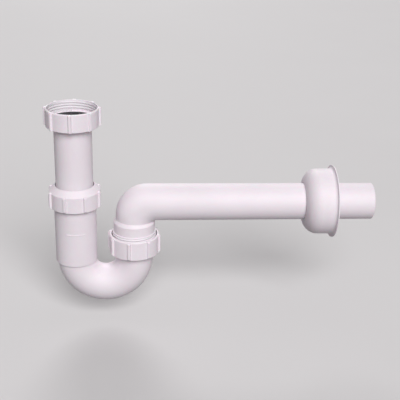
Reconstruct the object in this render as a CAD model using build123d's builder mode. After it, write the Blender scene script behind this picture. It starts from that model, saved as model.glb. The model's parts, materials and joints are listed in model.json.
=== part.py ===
from build123d import *

import os

# Tubular waste trap in white plastic: telescopic inlet tube, U-bend, swivel outlet arm and wall flange.
# Millimetres, +Z up. The origin is the centre of the inlet seat, the top face of the inlet washer.
# The inlet axis is Z, and the outlet pipe runs along +X.

# Pipes
pipe_radius = 16.0
pipe_wall = 1.8
bend_radius = 16.45
bend_wall = 1.8
socket_wall = 1.55

# Where the trunk lines run
leg_spacing = 51.1
outlet_drop = 75.8
outlet_reach = 261.7

# Inlet union: a parallel pipe thread of 1 1/4 inch in the nut, a flat washer on the tube's flange
inlet_thread_radius = 20.955
inlet_thread_height = 1.48
inlet_thread_gap = 0.1
inlet_mouth = 10.1
inlet_nut_wall = 1.3
inlet_nut_floor = 1.6
inlet_rib_angle = -1.6
washer_thickness = 2.0
tube_flange = 1.7
tube_length = 95.8

# Threads of the compression joint and of the swivel union
joint_thread_radius = 19.9
joint_thread_height = 1.3
joint_thread_gap = 0.3
joint_nut_wall = 1.8

# Compression joint between tube and socket
socket_rise = 5.0
socket_length = 59.2
socket_bevel = 2.4
compression_nut_height = 18.9
compression_nut_skirt = 6.8
compression_hole_gap = 0.9
compression_land = 0.2
compression_shell = 3.2
compression_rib_angle = 25.9
compression_rib_rise = 0.3
thread_foot = 1.2

# U-bend inside the socket's foot
bend_lap = 1.4
bend_insert = 12.0

# Swivel union between the right leg and the outlet arm
collar_drop = 15.2
collar_radius = 18.2
collar_cone = 2.9
collar_length = 11.4
thread_shoulder = 0.9
male_thread_length = 12.3
swivel_seal_thickness = 3.0
union_flange = 2.4
swivel_nut_height = 17.1
swivel_nut_floor = 2.1
swivel_rib_angle = -11.9

# Outlet arm: an elbow with a tight heel and a rounded throat, then a pipe with a slight moulding draft
# down to its plain spigot
elbow_radius = 11.4
elbow_throat = 3.0
arm_draft = 0.15
spigot_length = 34.0
spigot_chamfer = 0.8

# Wall flange on the outlet pipe
flange_setback = 35.6
flange_depth = 26.0
flange_bell_radius = 28.8
flange_lip_radius = 31.9
flange_lip_depth = 4.2
flange_lip_edge = 0.8
flange_lip_face = 2.0
flange_wall = 1.8

# Grip ribs and edges shared by the nuts
rib_count = 8
rib_height = 1.7
rib_root = 1.0
rib_base = 3.7
rib_crest = 2.0
rib_round = 0.4
inlet_rib_bevel = 0.6
compression_rib_bevel = 0.8
swivel_rib_bevel = 1.4
rib_foot_bevel = 1.7
rim_chamfer = 0.8
mouth_bevel = 0.2
foot_bevel = 0.3

# Clearances
slide_gap = 0.3
seal_gap = 0.2
face_gap = 0.2
bond_gap = 0.1
hole_gap = 0.45

# Raised bar moulded on the front of the socket
mark_drop = 29.1
mark_height = 1.2
mark_relief = 0.3
mark_arc = 51.0
mark_angle = -87.0

# Radii worked out from the sizes above
pipe_bore = pipe_radius - pipe_wall
bend_bore = bend_radius - bend_wall
bend_sweep_radius = leg_spacing / 2
socket_bore = bend_radius + bond_gap
socket_radius = socket_bore + socket_wall
arm_radius = pipe_radius + arm_draft
inlet_nut_bore = inlet_thread_radius + inlet_thread_gap
inlet_ring_bore = inlet_nut_bore - inlet_thread_height
inlet_ring_radius = inlet_ring_bore - slide_gap
inlet_nut_radius = inlet_nut_bore + inlet_nut_wall
thread_root = joint_thread_radius - joint_thread_height
joint_nut_bore = joint_thread_radius + joint_thread_gap
joint_nut_radius = joint_nut_bore + joint_nut_wall
joint_ring_radius = joint_nut_bore - slide_gap
compression_hole = pipe_radius + compression_hole_gap
cone_radius = compression_hole + compression_land
swivel_hole = bend_radius + hole_gap
flange_bore = arm_radius + slide_gap
flange_round = flange_bell_radius - flange_bore

# Levels and stations worked out from the sizes above
tube_top = -washer_thickness
tube_flange_foot = tube_top - tube_flange
inlet_floor_top = tube_flange_foot - face_gap
inlet_nut_foot = inlet_floor_top - inlet_nut_floor
tube_end = tube_top - tube_length
outlet_level = -outlet_drop
socket_top = outlet_level + socket_rise
socket_foot = socket_top - socket_length
compression_foot = socket_top - compression_nut_skirt
compression_top = compression_foot + compression_nut_height
compression_shoulder = compression_top - (joint_nut_radius - cone_radius)
bend_level = socket_foot + bend_lap
bend_top = socket_foot + bend_insert
collar_top = outlet_level - collar_drop
thread_top = collar_top - collar_length
arm_foot = thread_top - male_thread_length
swivel_seal_top = arm_foot - seal_gap
union_top = swivel_seal_top - swivel_seal_thickness
union_foot = union_top - union_flange
swivel_floor_top = union_foot - face_gap
swivel_foot = swivel_floor_top - swivel_nut_floor
swivel_top = swivel_foot + swivel_nut_height
elbow_level = outlet_level - elbow_radius
elbow_station = leg_spacing + elbow_radius
throat_turn = arm_radius + elbow_throat
throat_level = outlet_level - throat_turn
throat_station = leg_spacing + throat_turn
heel_run = throat_turn - elbow_radius
spigot_station = outlet_reach - spigot_length
flange_lip_station = outlet_reach - flange_setback
flange_neck_station = flange_lip_station - flange_depth
flange_round_station = flange_neck_station + flange_round
flange_flare_station = flange_lip_station - flange_lip_depth
flange_corner_station = flange_lip_station - flange_lip_edge

inlet_axis = Axis((0, 0, 0), (0, 0, 1))
swivel_axis = Axis((leg_spacing, 0, 0), (0, 0, 1))
outlet_axis = Axis((0, 0, outlet_level), (1, 0, 0))
elbow_axis = Axis((elbow_station, 0, elbow_level), (0, 1, 0))
throat_axis = Axis((throat_station, 0, throat_level), (0, 1, 0))
inlet_section = Plane.XZ
swivel_section = Plane(origin=(leg_spacing, 0, 0), x_dir=(1, 0, 0), z_dir=(0, -1, 0))
outlet_section = Plane(origin=(0, 0, outlet_level), x_dir=(1, 0, 0), z_dir=(0, -1, 0))
outlet_cross = Plane(origin=(elbow_station, 0, outlet_level), x_dir=(0, 0, -1), z_dir=(1, 0, 0))


def section_face(plane, *corners):
    """A straight-sided section for a turned form, given by its corners on that plane."""
    with BuildSketch(plane) as section:
        with BuildLine():
            Polyline(*corners, close=True)
        make_face()
    return section.sketch


def pipe_ring(plane, outer, inner):
    """The round section of a pipe."""
    with BuildSketch(plane) as ring:
        Circle(outer)
        Circle(inner, mode=Mode.SUBTRACT)
    return ring.sketch


def rib_plan(plane, radius, first_angle):
    """Plan of the tapered grip ribs round a nut, rooted in its wall, their outer edges rounded."""
    root = radius - rib_root
    crest = radius + rib_height
    with BuildSketch(plane) as plan:
        with PolarLocations(0, rib_count, start_angle=first_angle):
            Polygon(
                (root, -rib_base / 2),
                (crest, -rib_crest / 2),
                (crest, rib_crest / 2),
                (root, rib_base / 2),
                align=None,
            )
        fillet(plan.vertices().filter_by(lambda corner: corner.center().length > radius), rib_round)
    return plan.sketch


def rib_envelope(plane, foot, top, radius, crest_foot_bevel, crest_top_bevel):
    """The turned outline that trims a nut's ribs, with 45 degree bevels at both ends of their crests."""
    crest = radius + rib_height
    beyond = crest + rib_height
    return section_face(
        plane,
        (0, foot),
        (crest - crest_foot_bevel, foot),
        (beyond, foot + crest_foot_bevel + rib_height),
        (beyond, top - crest_top_bevel - rib_height),
        (crest - crest_top_bevel, top),
        (0, top),
    )


def half_round(plane, radius, side):
    """Half of a pipe's round section, on one side of its centre."""
    with BuildSketch(plane) as half:
        Circle(radius)
        Rectangle(2 * radius, 2 * radius, align=(side, Align.CENTER), mode=Mode.INTERSECT)
    return half.sketch


def riser_and_turn(radius, mode):
    """A pipe up from the arm's foot and round its elbow: half round outside the tight heel line,
    half round inside the wider throat line, flat-sided between the two lines."""
    with BuildSketch(Plane((leg_spacing, 0, arm_foot))) as riser:
        Circle(radius)
    extrude(riser.sketch, amount=throat_level - arm_foot, mode=mode)
    heel = half_round(Plane((leg_spacing, 0, elbow_level)), radius, Align.MAX)
    extrude(heel, amount=-heel_run, mode=mode)
    revolve(heel, axis=elbow_axis, revolution_arc=90, mode=mode)
    extrude(half_round(outlet_cross, radius, Align.MAX), amount=heel_run, mode=mode)
    throat = half_round(Plane((leg_spacing, 0, throat_level)), radius, Align.MIN)
    revolve(throat, axis=throat_axis, revolution_arc=90, mode=mode)
    with BuildSketch(swivel_section) as between:
        with BuildLine():
            heel_line = FilletPolyline(
                (0, throat_level),
                (0, outlet_level),
                (throat_turn, outlet_level),
                radius=elbow_radius,
            )
            RadiusArc(heel_line @ 0, heel_line @ 1, throat_turn)
        make_face()
    extrude(between.sketch, amount=radius, both=True, mode=mode)


with BuildPart() as inlet_nut:
    extrude(
        rib_plan(Plane.XY.offset(inlet_nut_foot), inlet_nut_radius, inlet_rib_angle),
        amount=inlet_mouth - inlet_nut_foot,
    )
    revolve(
        rib_envelope(
            inlet_section,
            inlet_nut_foot,
            inlet_mouth,
            inlet_nut_radius,
            inlet_rib_bevel,
            inlet_rib_bevel,
        ),
        axis=inlet_axis,
        mode=Mode.INTERSECT,
    )
    # round body, with the thread bore, a plain ring round the tube's flange and the hole for the tube
    revolve(
        section_face(
            inlet_section,
            (pipe_radius + hole_gap, inlet_nut_foot),
            (inlet_nut_radius - foot_bevel, inlet_nut_foot),
            (inlet_nut_radius, inlet_nut_foot + foot_bevel),
            (inlet_nut_radius, inlet_mouth - rim_chamfer),
            (inlet_nut_radius - rim_chamfer, inlet_mouth),
            (inlet_nut_bore + mouth_bevel, inlet_mouth),
            (inlet_nut_bore, inlet_mouth - mouth_bevel),
            (inlet_nut_bore, 0),
            (inlet_ring_bore, 0),
            (inlet_ring_bore, inlet_floor_top),
            (pipe_radius + hole_gap, inlet_floor_top),
        ),
        axis=inlet_axis,
    )
inlet_nut.part.label = "inlet_nut"

with BuildPart() as inlet_washer:
    extrude(
        pipe_ring(Plane.XY.offset(tube_top), inlet_ring_radius, pipe_bore + seal_gap),
        amount=washer_thickness,
    )
inlet_washer.part.label = "inlet_washer"

with BuildPart() as inlet_tube:
    revolve(
        section_face(
            inlet_section,
            (pipe_bore, tube_top),
            (inlet_ring_radius, tube_top),
            (inlet_ring_radius, tube_flange_foot),
            (pipe_radius, tube_flange_foot),
            (pipe_radius, tube_end + pipe_wall / 2),
            (pipe_radius - pipe_wall / 2, tube_end),
            (pipe_bore, tube_end),
        ),
        axis=inlet_axis,
    )
inlet_tube.part.label = "inlet_tube"

with BuildPart() as compression_nut:
    rib_top = compression_shoulder + compression_rib_rise
    extrude(
        rib_plan(Plane.XY.offset(compression_foot), joint_nut_radius, compression_rib_angle),
        amount=rib_top - compression_foot,
    )
    revolve(
        rib_envelope(
            inlet_section,
            compression_foot,
            rib_top,
            joint_nut_radius,
            rib_foot_bevel,
            compression_rib_bevel,
        ),
        axis=inlet_axis,
        mode=Mode.INTERSECT,
    )
    # round body with a conical shoulder, a hole for the tube and an inner cone that presses the seal
    inner_top = compression_top - compression_shell
    revolve(
        section_face(
            inlet_section,
            (joint_nut_bore, compression_foot),
            (joint_nut_radius - foot_bevel, compression_foot),
            (joint_nut_radius, compression_foot + foot_bevel),
            (joint_nut_radius, compression_shoulder),
            (cone_radius, compression_top),
            (compression_hole, compression_top),
            (compression_hole, inner_top),
            (joint_nut_bore, inner_top - (joint_nut_bore - compression_hole)),
        ),
        axis=inlet_axis,
    )
compression_nut.part.label = "compression_nut"

with BuildPart() as tube_seal:
    seal_bore = pipe_radius + seal_gap
    seal_crown = inner_top - slide_gap - (joint_ring_radius - compression_hole)
    revolve(
        section_face(
            inlet_section,
            (seal_bore, socket_top - socket_bevel),
            (socket_bore - bond_gap, socket_top - socket_bevel),
            (thread_root - socket_wall / 2 - bond_gap, socket_top),
            (joint_ring_radius, socket_top),
            (joint_ring_radius, seal_crown),
            (compression_hole + slide_gap, inner_top - 2 * slide_gap),
            (seal_bore, inner_top - 2 * slide_gap),
        ),
        axis=inlet_axis,
    )
tube_seal.part.label = "tube_seal"

with BuildPart() as socket:
    revolve(
        section_face(
            inlet_section,
            (socket_bore, socket_foot),
            (socket_radius, socket_foot),
            (socket_radius, compression_foot + thread_foot),
            (thread_root, compression_foot + thread_foot),
            (thread_root, socket_top),
            (thread_root - socket_wall / 2, socket_top),
            (socket_bore, socket_top - socket_bevel),
        ),
        axis=inlet_axis,
    )
    with BuildSketch(Plane.XZ.rotated((0, 0, mark_angle - mark_arc / 2))):
        with Locations((socket_radius, socket_top - mark_drop)):
            Rectangle(2 * mark_relief, mark_height)
    revolve(axis=inlet_axis, revolution_arc=mark_arc)
socket.part.label = "socket"

with BuildPart() as u_bend:
    left_leg = pipe_ring(Plane.XY.offset(bend_level), bend_radius, bend_bore)
    right_leg = pipe_ring(Plane((leg_spacing, 0, bend_level)), bend_radius, bend_bore)
    turning_axis = Axis((bend_sweep_radius, 0, bend_level), (0, -1, 0))
    extrude(left_leg, amount=bend_top - bend_level)
    revolve(left_leg, axis=turning_axis, revolution_arc=180)
    extrude(right_leg, amount=union_top - bend_level)
    extrude(
        pipe_ring(Plane((leg_spacing, 0, union_foot)), joint_ring_radius, bend_bore),
        amount=union_flange,
    )
u_bend.part.label = "u_bend"

with BuildPart() as swivel_nut:
    extrude(
        rib_plan(Plane((leg_spacing, 0, swivel_foot)), joint_nut_radius, swivel_rib_angle),
        amount=swivel_nut_height,
    )
    revolve(
        rib_envelope(
            swivel_section,
            swivel_foot,
            swivel_top,
            joint_nut_radius,
            rib_foot_bevel,
            swivel_rib_bevel,
        ),
        axis=swivel_axis,
        mode=Mode.INTERSECT,
    )
    # round body with the thread bore and the hole for the leg
    revolve(
        section_face(
            swivel_section,
            (swivel_hole, swivel_foot),
            (joint_nut_radius - foot_bevel, swivel_foot),
            (joint_nut_radius, swivel_foot + foot_bevel),
            (joint_nut_radius, swivel_top - rim_chamfer),
            (joint_nut_radius - rim_chamfer, swivel_top),
            (joint_nut_bore + mouth_bevel, swivel_top),
            (joint_nut_bore, swivel_top - mouth_bevel),
            (joint_nut_bore, swivel_floor_top),
            (swivel_hole, swivel_floor_top),
        ),
        axis=swivel_axis,
    )
swivel_nut.part.label = "swivel_nut"

with BuildPart() as swivel_seal:
    extrude(
        pipe_ring(Plane((leg_spacing, 0, union_top)), joint_ring_radius, bend_bore + seal_gap),
        amount=swivel_seal_thickness,
    )
swivel_seal.part.label = "swivel_seal"

with BuildPart() as outlet_arm:
    # collar with a conical top, shoulder above the male thread, thread zone at its root radius
    revolve(
        section_face(
            swivel_section,
            (0, arm_foot),
            (thread_root, arm_foot),
            (thread_root, thread_top - thread_shoulder),
            (thread_root + thread_shoulder / 2, thread_top - thread_shoulder / 2),
            (collar_radius, thread_top),
            (collar_radius, collar_top - collar_cone),
            (arm_radius, collar_top),
            (0, collar_top),
        ),
        axis=swivel_axis,
    )
    # riser and elbow, then the drafted pipe
    riser_and_turn(arm_radius, Mode.ADD)
    revolve(
        section_face(
            outlet_section,
            (throat_station, 0),
            (throat_station, arm_radius),
            (spigot_station, pipe_radius),
            (outlet_reach - spigot_chamfer, pipe_radius),
            (outlet_reach, pipe_radius - spigot_chamfer),
            (outlet_reach, 0),
        ),
        axis=outlet_axis,
    )
    # the waterway follows the same turn
    riser_and_turn(pipe_bore, Mode.SUBTRACT)
    with BuildSketch(outlet_cross.offset(heel_run)):
        Circle(pipe_bore)
    extrude(amount=outlet_reach - throat_station, mode=Mode.SUBTRACT)
outlet_arm.part.label = "outlet_arm"

with BuildPart() as wall_flange:
    with BuildSketch(outlet_section):
        with BuildLine():
            round_centre = (flange_round_station, flange_bore)
            inner_bell = flange_bell_radius - flange_wall
            outer_round = CenterArc(round_centre, flange_round, 180, -90)
            outer_flare = Bezier(
                (flange_flare_station, flange_bell_radius),
                (flange_corner_station, flange_bell_radius),
                (flange_corner_station, flange_lip_radius),
            )
            Line(outer_round @ 1, outer_flare @ 0)
            inner_flare = Bezier(
                (flange_flare_station, inner_bell),
                (flange_corner_station, inner_bell),
                (flange_lip_station, flange_lip_radius - flange_lip_face),
            )
            Polyline(outer_flare @ 1, (flange_lip_station, flange_lip_radius), inner_flare @ 1)
            inner_round = CenterArc(round_centre, flange_round - flange_wall, 180, -90)
            Line(inner_flare @ 0, inner_round @ 1)
            Line(inner_round @ 0, outer_round @ 0)
        make_face()
    revolve(axis=outlet_axis)
wall_flange.part.label = "wall_flange"

os.makedirs("parts", exist_ok=True)
for piece in (
    inlet_nut,
    inlet_washer,
    inlet_tube,
    compression_nut,
    tube_seal,
    socket,
    u_bend,
    swivel_nut,
    swivel_seal,
    outlet_arm,
    wall_flange,
):
    export_step(piece.part, f"parts/{piece.part.label}.step")
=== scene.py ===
import json
import math

import bmesh
import bpy
from mathutils import Matrix, Vector


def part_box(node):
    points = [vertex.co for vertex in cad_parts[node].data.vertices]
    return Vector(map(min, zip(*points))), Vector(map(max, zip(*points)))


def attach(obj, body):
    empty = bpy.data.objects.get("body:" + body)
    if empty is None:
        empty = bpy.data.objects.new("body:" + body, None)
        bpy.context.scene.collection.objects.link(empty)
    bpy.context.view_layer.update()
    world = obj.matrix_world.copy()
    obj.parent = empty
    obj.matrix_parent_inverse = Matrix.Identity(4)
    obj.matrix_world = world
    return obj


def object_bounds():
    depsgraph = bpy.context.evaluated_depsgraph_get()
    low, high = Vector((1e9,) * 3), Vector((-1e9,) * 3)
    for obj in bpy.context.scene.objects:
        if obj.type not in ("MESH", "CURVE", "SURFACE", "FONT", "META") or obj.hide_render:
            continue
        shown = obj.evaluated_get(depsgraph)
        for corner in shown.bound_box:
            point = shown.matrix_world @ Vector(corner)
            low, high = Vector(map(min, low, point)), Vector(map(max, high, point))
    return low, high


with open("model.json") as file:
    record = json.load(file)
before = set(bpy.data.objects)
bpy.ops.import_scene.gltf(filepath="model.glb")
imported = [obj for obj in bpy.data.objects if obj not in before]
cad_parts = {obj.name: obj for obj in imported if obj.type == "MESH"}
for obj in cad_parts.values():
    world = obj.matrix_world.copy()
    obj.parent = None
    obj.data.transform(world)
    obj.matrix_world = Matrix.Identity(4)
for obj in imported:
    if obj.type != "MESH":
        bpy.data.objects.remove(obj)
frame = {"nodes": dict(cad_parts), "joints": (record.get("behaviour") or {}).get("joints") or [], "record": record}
cad_low, cad_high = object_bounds()
middle = (cad_low + cad_high) / 2

# Metres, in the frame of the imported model, which also gives the places of mounts and joints
MM = 0.001
mounts = {mount["name"]: mount for mount in frame["record"]["mounts"]}
joints = {joint["name"]: joint for joint in frame["joints"]}

# Camera of the photograph, in the same frame
CAMERA_PLACE = Vector((0.05186, -0.67784, 0.2218))
CAMERA_YAW = math.radians(4.79)
CAMERA_PITCH = math.radians(23.53)
CAMERA_ROLL = math.radians(1.67)
PICTURE_PIXELS = 400
FOCAL_PIXELS = 845.8

# Soft studio light: a broad key in front and above, a weaker lamp behind for the far side
KEY_AZIMUTH = math.radians(10)
KEY_ELEVATION = math.radians(38)
KEY_DISTANCE = 10.0
KEY_SIZE = 6.0
KEY_POWER = 905.0
BACK_AZIMUTH = math.radians(182)
BACK_ELEVATION = math.radians(28)
BACK_DISTANCE = 10.0
BACK_SIZE = 5.0
BACK_POWER = 445.0

# Pale surroundings: how strongly they light the object, and how bright they look
SURROUND_COLOUR = (0.8, 0.78, 0.79)
AMBIENT = 0.27
BACKDROP = 0.82

# Pale floor; noise scales, here and below, are features per metre
FLOOR_GAP = 2 * MM
FLOOR_HALF = 6.0
FLOOR_BOUNCE = 0.3
FLOOR_DARK = (0.63, 0.615, 0.62)
FLOOR_LIGHT = (0.66, 0.645, 0.65)
FLOOR_ROUGHNESS = (0.75, 0.85)
FLOOR_CLOUD_SCALE = 3

# White plastic
PLASTIC_DARK = (0.825, 0.755, 0.805)
PLASTIC_LIGHT = (0.865, 0.795, 0.85)
PLASTIC_ROUGHNESS = (0.54, 0.66)
PLASTIC_IOR = 1.49
PLASTIC_CLOUD_SCALE = 28
PLASTIC_GLOSS_SCALE = 75
PLASTIC_SKIN_SCALE = 900
PLASTIC_SKIN_STRENGTH = 0.35
PLASTIC_SKIN_DEPTH = 0.03 * MM
PLASTIC_GLOW = 0.2
PLASTIC_GLOW_RADIUS = (1.0, 0.45, 0.65)
PLASTIC_GLOW_DEPTH = 1.6 * MM
FLOW_STRETCH = 0.06

# Black rubber
RUBBER_DARK = (0.016, 0.016, 0.018)
RUBBER_LIGHT = (0.034, 0.034, 0.037)
RUBBER_ROUGHNESS = (0.55, 0.75)
RUBBER_BLOOM_SCALE = 240
RUBBER_PIT_SCALE = 1800
RUBBER_PIT_STRENGTH = 0.5
RUBBER_PIT_DEPTH = 0.05 * MM

# The stretch of the noise's values that a colour or a roughness runs over
COLOUR_BAND = (0.3, 0.7)
ROUGHNESS_BAND = (0.25, 0.75)

# Threads that the solids leave plain. A start is where the lower end lies, in turns from +X. The union's
# root is the radius of the outlet arm's plain cylinder, and its top is how far the thread ends below the
# outlet pipe's axis.
INLET_PITCH = 2.309 * MM
INLET_RIDGE = 0.42 * MM
INLET_START = 0.26
UNION_PITCH = 1.9 * MM
UNION_RIDGE = 0.7 * MM
UNION_START = 0.0
UNION_ROOT = 18.6 * MM
UNION_TOP = 27.4 * MM
STEPS_PER_TURN = 96
PROFILE_STEPS = 8
RUN_OUT_TURNS = 0.3
RIDGE_ROOT = 0.05 * MM


def link(tree, source, output, target, socket):
    """Join one shader node's output to another's input."""
    tree.links.new(source.outputs[output], target.inputs[socket])


def add_node(tree, kind, **inputs):
    """A shader node with its constant inputs set; a name's underscores stand for spaces."""
    node = tree.nodes.new(kind)
    for name, value in inputs.items():
        node.inputs[name.replace("_", " ")].default_value = value
    return node


def add_sum(tree):
    """A shader node that adds its two inputs."""
    node = add_node(tree, "ShaderNodeMath")
    node.operation = "ADD"
    return node


def new_material(name):
    """A material with its node tree and its shader."""
    material = bpy.data.materials.new(name)
    material.use_nodes = True
    tree = material.node_tree
    return material, tree, tree.nodes["Principled BSDF"]


def place(name, data):
    """A new object in the scene that shows the given data."""
    placed = bpy.data.objects.new(name, data)
    bpy.context.scene.collection.objects.link(placed)
    return placed


def noise(tree, scale, detail, stretch=(1, 1, 1)):
    """Noise fixed to the piece; stretch below 1 draws it out along that axis."""
    coordinates = add_node(tree, "ShaderNodeTexCoord")
    mapping = add_node(tree, "ShaderNodeMapping", Scale=stretch)
    texture = add_node(tree, "ShaderNodeTexNoise", Scale=scale, Detail=detail)
    link(tree, coordinates, "Object", mapping, "Vector")
    link(tree, mapping, "Vector", texture, "Vector")
    return texture


def noise_colour(tree, texture, dark, light):
    """A colour that follows the noise from dark to light."""
    ramp = add_node(tree, "ShaderNodeValToRGB")
    for element, position, colour in zip(ramp.color_ramp.elements, COLOUR_BAND, (dark, light)):
        element.position = position
        element.color = (*colour, 1)
    link(tree, texture, "Fac", ramp, "Fac")
    return ramp


def noise_roughness(tree, texture, shader, limits):
    """Roughness that follows the noise between two limits."""
    start, end = ROUGHNESS_BAND
    low, high = limits
    span = add_node(tree, "ShaderNodeMapRange", From_Min=start, From_Max=end, To_Min=low, To_Max=high)
    link(tree, texture, "Fac", span, "Value")
    link(tree, span, "Result", shader, "Roughness")


def noise_bump(tree, texture, shader, strength, depth):
    """A fine relief that follows the noise."""
    bump = add_node(tree, "ShaderNodeBump", Strength=strength, Distance=depth)
    link(tree, texture, "Fac", bump, "Height")
    link(tree, bump, "Normal", shader, "Normal")


def white_plastic(name, draw=(1, 1, 1)):
    """Moulded white plastic: cloudy tone, semi-gloss in patches, and a fine skin drawn out along its flow."""
    material, tree, shader = new_material(name)
    cloud = noise(tree, PLASTIC_CLOUD_SCALE, detail=3)
    gloss = noise(tree, PLASTIC_GLOSS_SCALE, detail=4, stretch=draw)
    skin = noise(tree, PLASTIC_SKIN_SCALE, detail=3, stretch=draw)
    tone = noise_colour(tree, cloud, PLASTIC_DARK, PLASTIC_LIGHT)
    link(tree, tone, "Color", shader, "Base Color")
    noise_roughness(tree, gloss, shader, PLASTIC_ROUGHNESS)
    noise_bump(tree, skin, shader, PLASTIC_SKIN_STRENGTH, PLASTIC_SKIN_DEPTH)
    shader.inputs["IOR"].default_value = PLASTIC_IOR
    shader.inputs["Subsurface Weight"].default_value = PLASTIC_GLOW
    shader.inputs["Subsurface Radius"].default_value = PLASTIC_GLOW_RADIUS
    shader.inputs["Subsurface Scale"].default_value = PLASTIC_GLOW_DEPTH
    return material


def black_rubber(name):
    """Matt black rubber with a dusty bloom and a pitted skin."""
    material, tree, shader = new_material(name)
    bloom = noise(tree, RUBBER_BLOOM_SCALE, detail=5)
    pits = noise(tree, RUBBER_PIT_SCALE, detail=2)
    tone = noise_colour(tree, bloom, RUBBER_DARK, RUBBER_LIGHT)
    link(tree, tone, "Color", shader, "Base Color")
    noise_roughness(tree, bloom, shader, RUBBER_ROUGHNESS)
    noise_bump(tree, pits, shader, RUBBER_PIT_STRENGTH, RUBBER_PIT_DEPTH)
    return material


def pale_floor(name):
    """A pale matt floor that throws only part of its light back on to the object."""
    material, tree, shader = new_material(name)
    cloud = noise(tree, FLOOR_CLOUD_SCALE, detail=3)
    tone = noise_colour(tree, cloud, FLOOR_DARK, FLOOR_LIGHT)
    rays = add_node(tree, "ShaderNodeLightPath")
    bounce = add_node(tree, "ShaderNodeMapRange", To_Min=1, To_Max=FLOOR_BOUNCE)
    shade = add_node(tree, "ShaderNodeHueSaturation")
    link(tree, rays, "Is Diffuse Ray", bounce, "Value")
    link(tree, bounce, "Result", shade, "Value")
    link(tree, tone, "Color", shade, "Color")
    link(tree, shade, "Color", shader, "Base Color")
    noise_roughness(tree, cloud, shader, FLOOR_ROUGHNESS)
    return material


def ridge_section(wall_radius, rise, root, level, pitch):
    """A thread's cross-section as radius and height: a rounded crest on the wall, and a root sunk in it."""
    section = []
    for point in range(PROFILE_STEPS + 1):
        across = point / PROFILE_STEPS - 0.5
        crest = rise * (1 + math.cos(math.tau * across)) / 2
        section.append((wall_radius + crest, level + across * pitch))
    section.append((wall_radius - root, level + pitch / 2))
    section.append((wall_radius - root, level - pitch / 2))
    return section


def thread_ridge(name, body, axis, wall_radius, height, pitch, start, low, high, material):
    """A rounded helical ridge on a round wall, running out at both ends; a height below 0 stands inwards."""
    turns = (high - low - pitch) / pitch
    steps = round(turns * STEPS_PER_TURN)
    root = math.copysign(RIDGE_ROOT, height)
    mesh = bmesh.new()
    rings = []
    for step in range(steps + 1):
        turn = turns * step / steps
        run_out = min(1, turn / RUN_OUT_TURNS, (turns - turn) / RUN_OUT_TURNS)
        section = ridge_section(wall_radius, height * run_out, root, low + pitch * (0.5 + turn), pitch)
        angle = math.tau * (start + turn)
        spoke = Vector((math.cos(angle), math.sin(angle), 0))
        rings.append([mesh.verts.new(axis + spoke * radius + Vector((0, 0, z))) for radius, z in section])
    for ring, following in zip(rings, rings[1:]):
        for corner in range(len(ring)):
            mesh.faces.new((ring[corner - 1], ring[corner], following[corner], following[corner - 1]))
    mesh.faces.new(rings[0])
    mesh.faces.new(reversed(rings[-1]))
    bmesh.ops.recalc_face_normals(mesh, faces=mesh.faces)
    data = bpy.data.meshes.new(name)
    mesh.to_mesh(data)
    mesh.free()
    data.shade_smooth()
    data.materials.append(material)
    piece = place(name, data)
    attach(piece, body)


def from_the_front(azimuth, elevation, distance):
    """A place round the object's middle: azimuth turns to the right of the front, elevation goes up."""
    level = math.cos(elevation)
    return middle + distance * Vector(
        (math.sin(azimuth) * level, -math.cos(azimuth) * level, math.sin(elevation))
    )


def soft_lamp(name, azimuth, elevation, distance, size, power):
    """A wide round lamp that points at the object's middle."""
    data = bpy.data.lights.new(name, "AREA")
    data.shape = "DISK"
    data.size = size
    data.energy = power
    lamp = place(name, data)
    lamp.location = from_the_front(azimuth, elevation, distance)
    lamp.rotation_euler = (middle - lamp.location).to_track_quat("-Z", "Y").to_euler()


def studio_world():
    """Even pale surroundings: a soft fill for the object, a pale tone for the camera and for reflections."""
    world = bpy.data.worlds.new("studio")
    world.use_nodes = True
    tree = world.node_tree
    background = tree.nodes["Background"]
    background.inputs["Color"].default_value = (*SURROUND_COLOUR, 1)
    rays = add_node(tree, "ShaderNodeLightPath")
    mirrored = add_sum(tree)
    seen = add_sum(tree)
    strength = add_node(tree, "ShaderNodeMapRange", To_Min=AMBIENT, To_Max=BACKDROP)
    link(tree, rays, "Is Glossy Ray", mirrored, 0)
    link(tree, rays, "Is Transmission Ray", mirrored, 1)
    link(tree, rays, "Is Camera Ray", seen, 0)
    link(tree, mirrored, "Value", seen, 1)
    link(tree, seen, "Value", strength, "Value")
    link(tree, strength, "Result", background, "Strength")
    bpy.context.scene.world = world


def studio_floor():
    """A wide floor under the lowest place that the trap slides to."""
    level = cad_low.z + joints["height_slide"]["range_m"][0] - FLOOR_GAP
    data = bpy.data.meshes.new("floor")
    corners = [(x * FLOOR_HALF, y * FLOOR_HALF, level) for x, y in ((-1, -1), (1, -1), (1, 1), (-1, 1))]
    data.from_pydata(corners, [], [(0, 1, 2, 3)])
    data.materials.append(pale_floor("pale_floor"))
    floor = place("floor", data)


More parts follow.
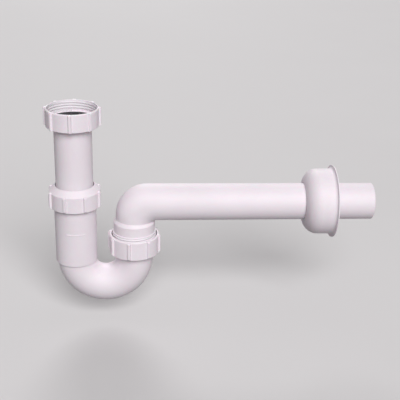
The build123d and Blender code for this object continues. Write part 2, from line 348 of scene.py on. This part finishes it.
def photo_camera():
    """The photograph's camera: turned right by its yaw, tipped down by its pitch, then rolled."""
    data = bpy.data.cameras.new("photo_camera")
    data.lens = FOCAL_PIXELS / PICTURE_PIXELS * data.sensor_width
    camera = place("photo_camera", data)
    turned = Matrix.Rotation(-CAMERA_YAW, 4, "Z")
    tipped = Matrix.Rotation(math.pi / 2 - CAMERA_PITCH, 4, "X")
    rolled = Matrix.Rotation(CAMERA_ROLL, 4, "Z")
    camera.matrix_world = Matrix.Translation(CAMERA_PLACE) @ turned @ tipped @ rolled
    bpy.context.scene.camera = camera


# Finish of every node; the pipes' skin is drawn out along their length
moulded = white_plastic("moulded_white")
drawn_upright = white_plastic("drawn_white_upright", draw=(1, 1, FLOW_STRETCH))
drawn_level = white_plastic("drawn_white_level", draw=(FLOW_STRETCH, 1, 1))
rubber = black_rubber("matt_rubber")
finishes = {
    "inlet_nut": moulded,
    "inlet_washer": rubber,
    "inlet_tube": drawn_upright,
    "compression_nut": moulded,
    "tube_seal": rubber,
    "socket": drawn_upright,
    "u_bend": moulded,
    "swivel_nut": moulded,
    "swivel_seal": rubber,
    "outlet_arm": drawn_level,
    "wall_flange": moulded,
}
for name, material in finishes.items():
    frame["nodes"][name].data.materials[0] = material

# Threads: in the mouth of the inlet nut, and on the outlet arm above the swivel nut
inlet = mounts["inlet_thread"]
thread_ridge(
    "inlet_thread",
    body="inlet_nut",
    axis=Vector(inlet["pos_m"]),
    wall_radius=inlet["dims"]["r_mm"] * MM,
    height=-INLET_RIDGE,
    pitch=INLET_PITCH,
    start=INLET_START,
    low=0,
    high=inlet["dims"]["length_mm"] * MM,
    material=moulded,
)
swivel = Vector(joints["outlet_swivel"]["pos_m"])
thread_ridge(
    "union_thread",
    body="outlet_arm",
    axis=swivel,
    wall_radius=UNION_ROOT,
    height=UNION_RIDGE,
    pitch=UNION_PITCH,
    start=UNION_START,
    low=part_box("outlet_arm")[0].z - swivel.z,
    high=-UNION_TOP,
    material=moulded,
)

# Stage
soft_lamp("key", KEY_AZIMUTH, KEY_ELEVATION, KEY_DISTANCE, KEY_SIZE, KEY_POWER)
soft_lamp("back", BACK_AZIMUTH, BACK_ELEVATION, BACK_DISTANCE, BACK_SIZE, BACK_POWER)
studio_world()
studio_floor()
photo_camera()
bpy.context.scene.view_settings.view_transform = "Standard"
